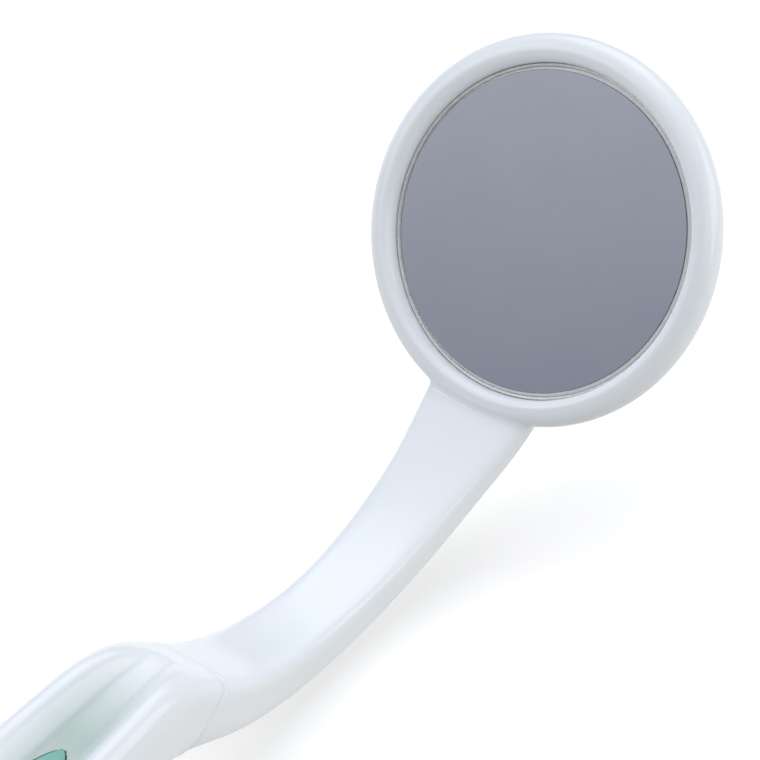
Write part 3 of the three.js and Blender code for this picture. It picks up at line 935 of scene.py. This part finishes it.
def clear_adhesive():
    """The cured glue that holds the mirror in the cup: milky, glossy and uneven."""
    n = Nodes("adhesive")
    beads = n.noise(0.35, detail=3)
    n.set(
        Base_Color=n.mix(n.span(beads, 0.35, 0.65, 0, 1), (0.80, 0.82, 0.82), (0.95, 0.96, 0.96)),
        Roughness=n.span(n.noise(1), 0.3, 0.7, 0.14, 0.26),
        Normal=n.bump(beads, 0.05),
        IOR=1.47,
    )
    return n.material


def pale_floor():
    """A plain matt floor that glows a little, to come out as white as the photo's background."""
    n = Nodes("floor")
    n.set(
        Base_Color=n.mix(n.noise(60, detail=2), (0.88, 0.88, 0.88), (0.895, 0.895, 0.895)),
        Roughness=0.9,
        Specular_IOR_Level=0.1,
        Emission_Color=(1.0, 1.0, 1.0),
        Emission_Strength=0.25,
    )
    return n.material


# ---- the studio ----

VIEW_AZIMUTH = math.radians(-142.39)
VIEW_ELEVATION = math.radians(40.85)
VIEW_ROLL = math.radians(-0.95)
VIEW_DISTANCE = 350 * MM  # from the rim's middle, along the view
RIM_RIGHT_OF_CENTRE = 11.105 * MM  # the rim's middle, from the middle of the view
RIM_ABOVE_CENTRE = 10.144 * MM
SENSOR = 36  # millimetres, as the lens is
LENS = 245.45
SKY_UP = (0, 0.585, 0.811)  # the sky's upward direction, leaned sideways so that the mirror's grey is even
SKY = [  # level along SKY_UP, from -1 to 1, and the colour there
    (-1.0, (0.56, 0.54, 0.50)),
    (0.2, (0.45, 0.435, 0.40)),
    (0.4785, (0.136, 0.143, 0.198)),
    (0.67, (0.635, 0.645, 0.72)),
    (0.85, (0.84, 0.84, 0.84)),
    (1.0, (0.84, 0.84, 0.84)),
]
FLOOR_HALF = 1.5  # metres
FLOOR_DROP = 0.0002  # metres from the object's lowest point down to the floor


def view_axes():
    """The camera's right, up and back directions."""
    back = Vector((
        math.cos(VIEW_ELEVATION) * math.cos(VIEW_AZIMUTH),
        math.cos(VIEW_ELEVATION) * math.sin(VIEW_AZIMUTH),
        math.sin(VIEW_ELEVATION),
    ))
    level = Vector((-math.sin(VIEW_AZIMUTH), math.cos(VIEW_AZIMUTH), 0))
    upright = back.cross(level)
    right = math.cos(VIEW_ROLL) * level + math.sin(VIEW_ROLL) * upright
    return right, back.cross(right), back


def add_camera():
    right, up, back = view_axes()
    data = bpy.data.cameras.new("camera")
    data.sensor_width = SENSOR
    data.lens = LENS
    data.clip_start = 0.01
    data.clip_end = 20
    camera = bpy.data.objects.new("camera", data)
    place = (
        Vector(RIM_MIDDLE)
        - RIM_RIGHT_OF_CENTRE * right
        - RIM_ABOVE_CENTRE * up
        + VIEW_DISTANCE * back
    )
    camera.matrix_world = Matrix.Translation(place) @ Matrix((right, up, back)).transposed().to_4x4()
    bpy.context.scene.collection.objects.link(camera)
    bpy.context.scene.camera = camera


def softbox(name, direction, distance, size, power, colour=(1, 1, 1)):
    """A flat lamp of this width and height that faces the rim's middle from this direction."""
    data = bpy.data.lights.new(name, "AREA")
    data.shape = "RECTANGLE"
    data.size, data.size_y = size
    data.energy = power
    data.color = colour
    lamp = bpy.data.objects.new(name, data)
    direction = Vector(direction).normalized()
    lamp.location = Vector(RIM_MIDDLE) + distance * direction
    lamp.rotation_euler = direction.to_track_quat("Z", "Y").to_euler()
    bpy.context.scene.collection.objects.link(lamp)


def add_sky():
    """Soft light from all round, with a darker band in it for the mirror to reflect."""
    world = bpy.data.worlds.new("studio")
    bpy.context.scene.world = world
    world.use_nodes = True
    tree = world.node_tree
    background = tree.nodes["Background"]
    place = tree.nodes.new("ShaderNodeTexCoord")
    level = tree.nodes.new("ShaderNodeVectorMath")
    level.operation = "DOT_PRODUCT"
    level.inputs[1].default_value = SKY_UP
    ramp = tree.nodes.new("ShaderNodeValToRGB")
    share = tree.nodes.new("ShaderNodeMapRange")
    share.inputs["From Min"].default_value = -1
    tree.links.new(place.outputs["Generated"], level.inputs[0])
    tree.links.new(level.outputs["Value"], share.inputs["Value"])
    tree.links.new(share.outputs["Result"], ramp.inputs["Fac"])
    tree.links.new(ramp.outputs["Color"], background.inputs["Color"])
    elements = ramp.color_ramp.elements
    while len(elements) < len(SKY):
        elements.new(0.5)
    for element, (height, colour) in zip(elements, SKY):
        element.position = (height + 1) / 2
        element.color = (*colour, 1)


def add_floor(material):
    mesh = bpy.data.meshes.new("floor")
    z = cad_box[0][2] - FLOOR_DROP
    corners = [(FLOOR_HALF * x, FLOOR_HALF * y, z) for x, y in ((-1, -1), (1, -1), (1, 1), (-1, 1))]
    mesh.from_pydata(corners, [], [(0, 1, 2, 3)])
    mesh.materials.append(material)
    floor = bpy.data.objects.new("floor", mesh)
    floor.visible_diffuse = False  # the sky's lower half lights the object from below
    bpy.context.scene.collection.objects.link(floor)


def add_studio():
    add_camera()
    add_sky()
    add_floor(pale_floor())
    right, up, back = view_axes()
    cool = (0.97, 1.0, 1.05)
    square = (0.5, 0.5)
    strip = (0.05, 0.4)
    softbox("overhead", (0.5, 0.35, 0.8), 0.8, (0.6, 0.6), power=1.42, colour=cool)
    softbox("left_side", 0.35 * back - 0.9 * right + 0.35 * up, 0.8, square, power=1.4)
    softbox("right_side", 0.35 * back + 0.9 * right + 0.35 * up, 0.8, square, power=1.75)
    softbox("right_front", 0.67 * back + 0.74 * right, 0.7, (0.25, 0.45), power=0.65)
    softbox("camera_side", back + 0.25 * right + 0.1 * up, 0.9, square, power=0.45)
    softbox("left_strip", 0.70 * back - 0.72 * right, 0.7, strip, power=0.1)
    softbox("right_strip", 0.67 * back + 0.74 * right, 0.69, strip, power=0.1)
    view = bpy.context.scene.view_settings
    view.view_transform = "Standard"
    view.look = "None"


# ---- the object ----

plastic = white_plastic()
cup_and_neck(plastic)
grip(plastic)
thumb_pad(teal_rubber())
mirror_layers(silver_coat(), painted_edge_shade(), clear_glass(), ground_glass(), clear_adhesive())
add_studio()
